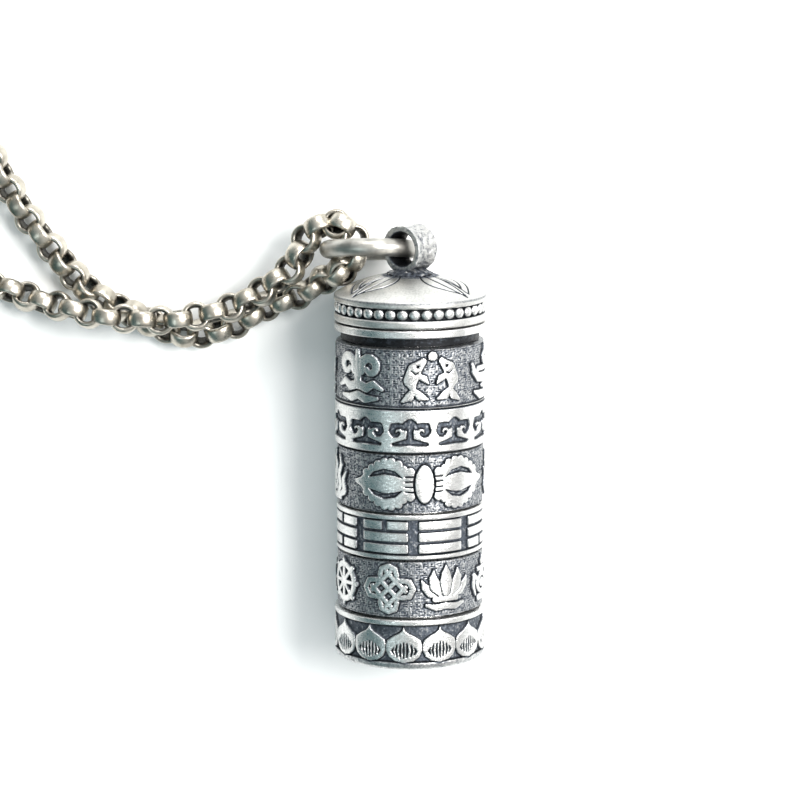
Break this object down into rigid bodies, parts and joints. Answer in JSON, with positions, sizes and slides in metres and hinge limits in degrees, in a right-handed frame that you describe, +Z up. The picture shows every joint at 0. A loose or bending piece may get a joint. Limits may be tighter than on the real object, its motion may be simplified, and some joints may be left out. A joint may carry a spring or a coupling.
{
  "type": "prayer wheel pendant",
  "caption": "Oxidised-silver prayer wheel pendant with turning ornament rings between a lotus base and a bead-rimmed cap, on a belcher chain.",
  "frame": {"origin": "centre of the base's flat end face, on the wheel's axis", "axes": "+Y along the wheel's axis from the base to the cap, +Z up from the surface it lies on, +X to the right with the chain on the left"},
  "size_m": [0.0664, 0.051, 0.01],
  "materials": {
    "oxidised_silver": "satin silver with dark oxidised ground",
    "polished_silver": "polished",
    "chain_silver": "warm satin",
    "seal_rubber": "matt",
    "scroll_paper": "matt",
    "spindle_wood": "satin",
    "tie_thread": "matt"
  },
  "bodies": {
    "necklace": {"jump_ring": "chain_silver", "chain_saddle": "chain_silver", "chain_front_run": "chain_silver", "chain_back_run": "chain_silver", "chain_coil": "chain_silver", "clasp_body": "chain_silver", "clasp_pin": "chain_silver", "clasp_spring": "chain_silver", "clasp_ring": "chain_silver", "tail_ring": "chain_silver"},
    "cap": {"cap_shell": "oxidised_silver", "cap_bush": "polished_silver", "bail_loop": "oxidised_silver"},
    "gasket": {"cap_gasket": "seal_rubber"},
    "barrel": {"base_cup": "oxidised_silver", "core_tube": "polished_silver", "retaining_collar": "polished_silver", "prayer_scroll": "scroll_paper", "scroll_spindle": "spindle_wood", "scroll_tie": "tie_thread"},
    "seal_ring": {"ring_seal": "oxidised_silver"},
    "trigram_ring": {"ring_trigram": "oxidised_silver"},
    "vajra_ring": {"ring_vajra": "oxidised_silver"},
    "cloud_ring": {"ring_cloud": "oxidised_silver"},
    "chant_ring": {"ring_chant": "oxidised_silver"},
    "lever": {"clasp_lever": "chain_silver"}
  },
  "joints": [
    {"name": "bail_swing", "type": "hinge", "parent": "necklace", "child": "cap", "pos_m": [0, 0.0275, 0], "axis": [-0.6429, 0, 0.766], "range_deg": [0, 175]},
    {"name": "barrel_turn", "type": "hinge", "parent": "cap", "child": "gasket", "pos_m": [0, 0, 0], "axis": [0, -1, 0], "range_deg": [0, 4320]},
    {"name": "barrel_withdraw", "type": "slide", "parent": "gasket", "child": "barrel", "axis": [0, -1, 0], "range_m": [0, 0.006]},
    {"name": "seal_spin", "type": "hinge", "parent": "barrel", "child": "seal_ring", "pos_m": [0, 0, 0], "axis": [0, 1, 0], "continuous": true},
    {"name": "trigram_spin", "type": "hinge", "parent": "barrel", "child": "trigram_ring", "pos_m": [0, 0, 0], "axis": [0, 1, 0], "continuous": true},
    {"name": "vajra_spin", "type": "hinge", "parent": "barrel", "child": "vajra_ring", "pos_m": [0, 0, 0], "axis": [0, 1, 0], "continuous": true},
    {"name": "cloud_spin", "type": "hinge", "parent": "barrel", "child": "cloud_ring", "pos_m": [0, 0, 0], "axis": [0, 1, 0], "continuous": true},
    {"name": "chant_spin", "type": "hinge", "parent": "barrel", "child": "chant_ring", "pos_m": [0, 0, 0], "axis": [0, 1, 0], "continuous": true},
    {"name": "lever_open", "type": "hinge", "parent": "necklace", "child": "lever", "pos_m": [-0.04463, 0.03525, -0.00367], "axis": [0, 0, -1], "range_deg": [0, 13], "stiffness_Nm_per_rad": 0.0001}
  ],
  "couplings": [
    {"joint": "barrel_turn", "follows": "barrel_withdraw", "rad_per_m": 12566}
  ]
}
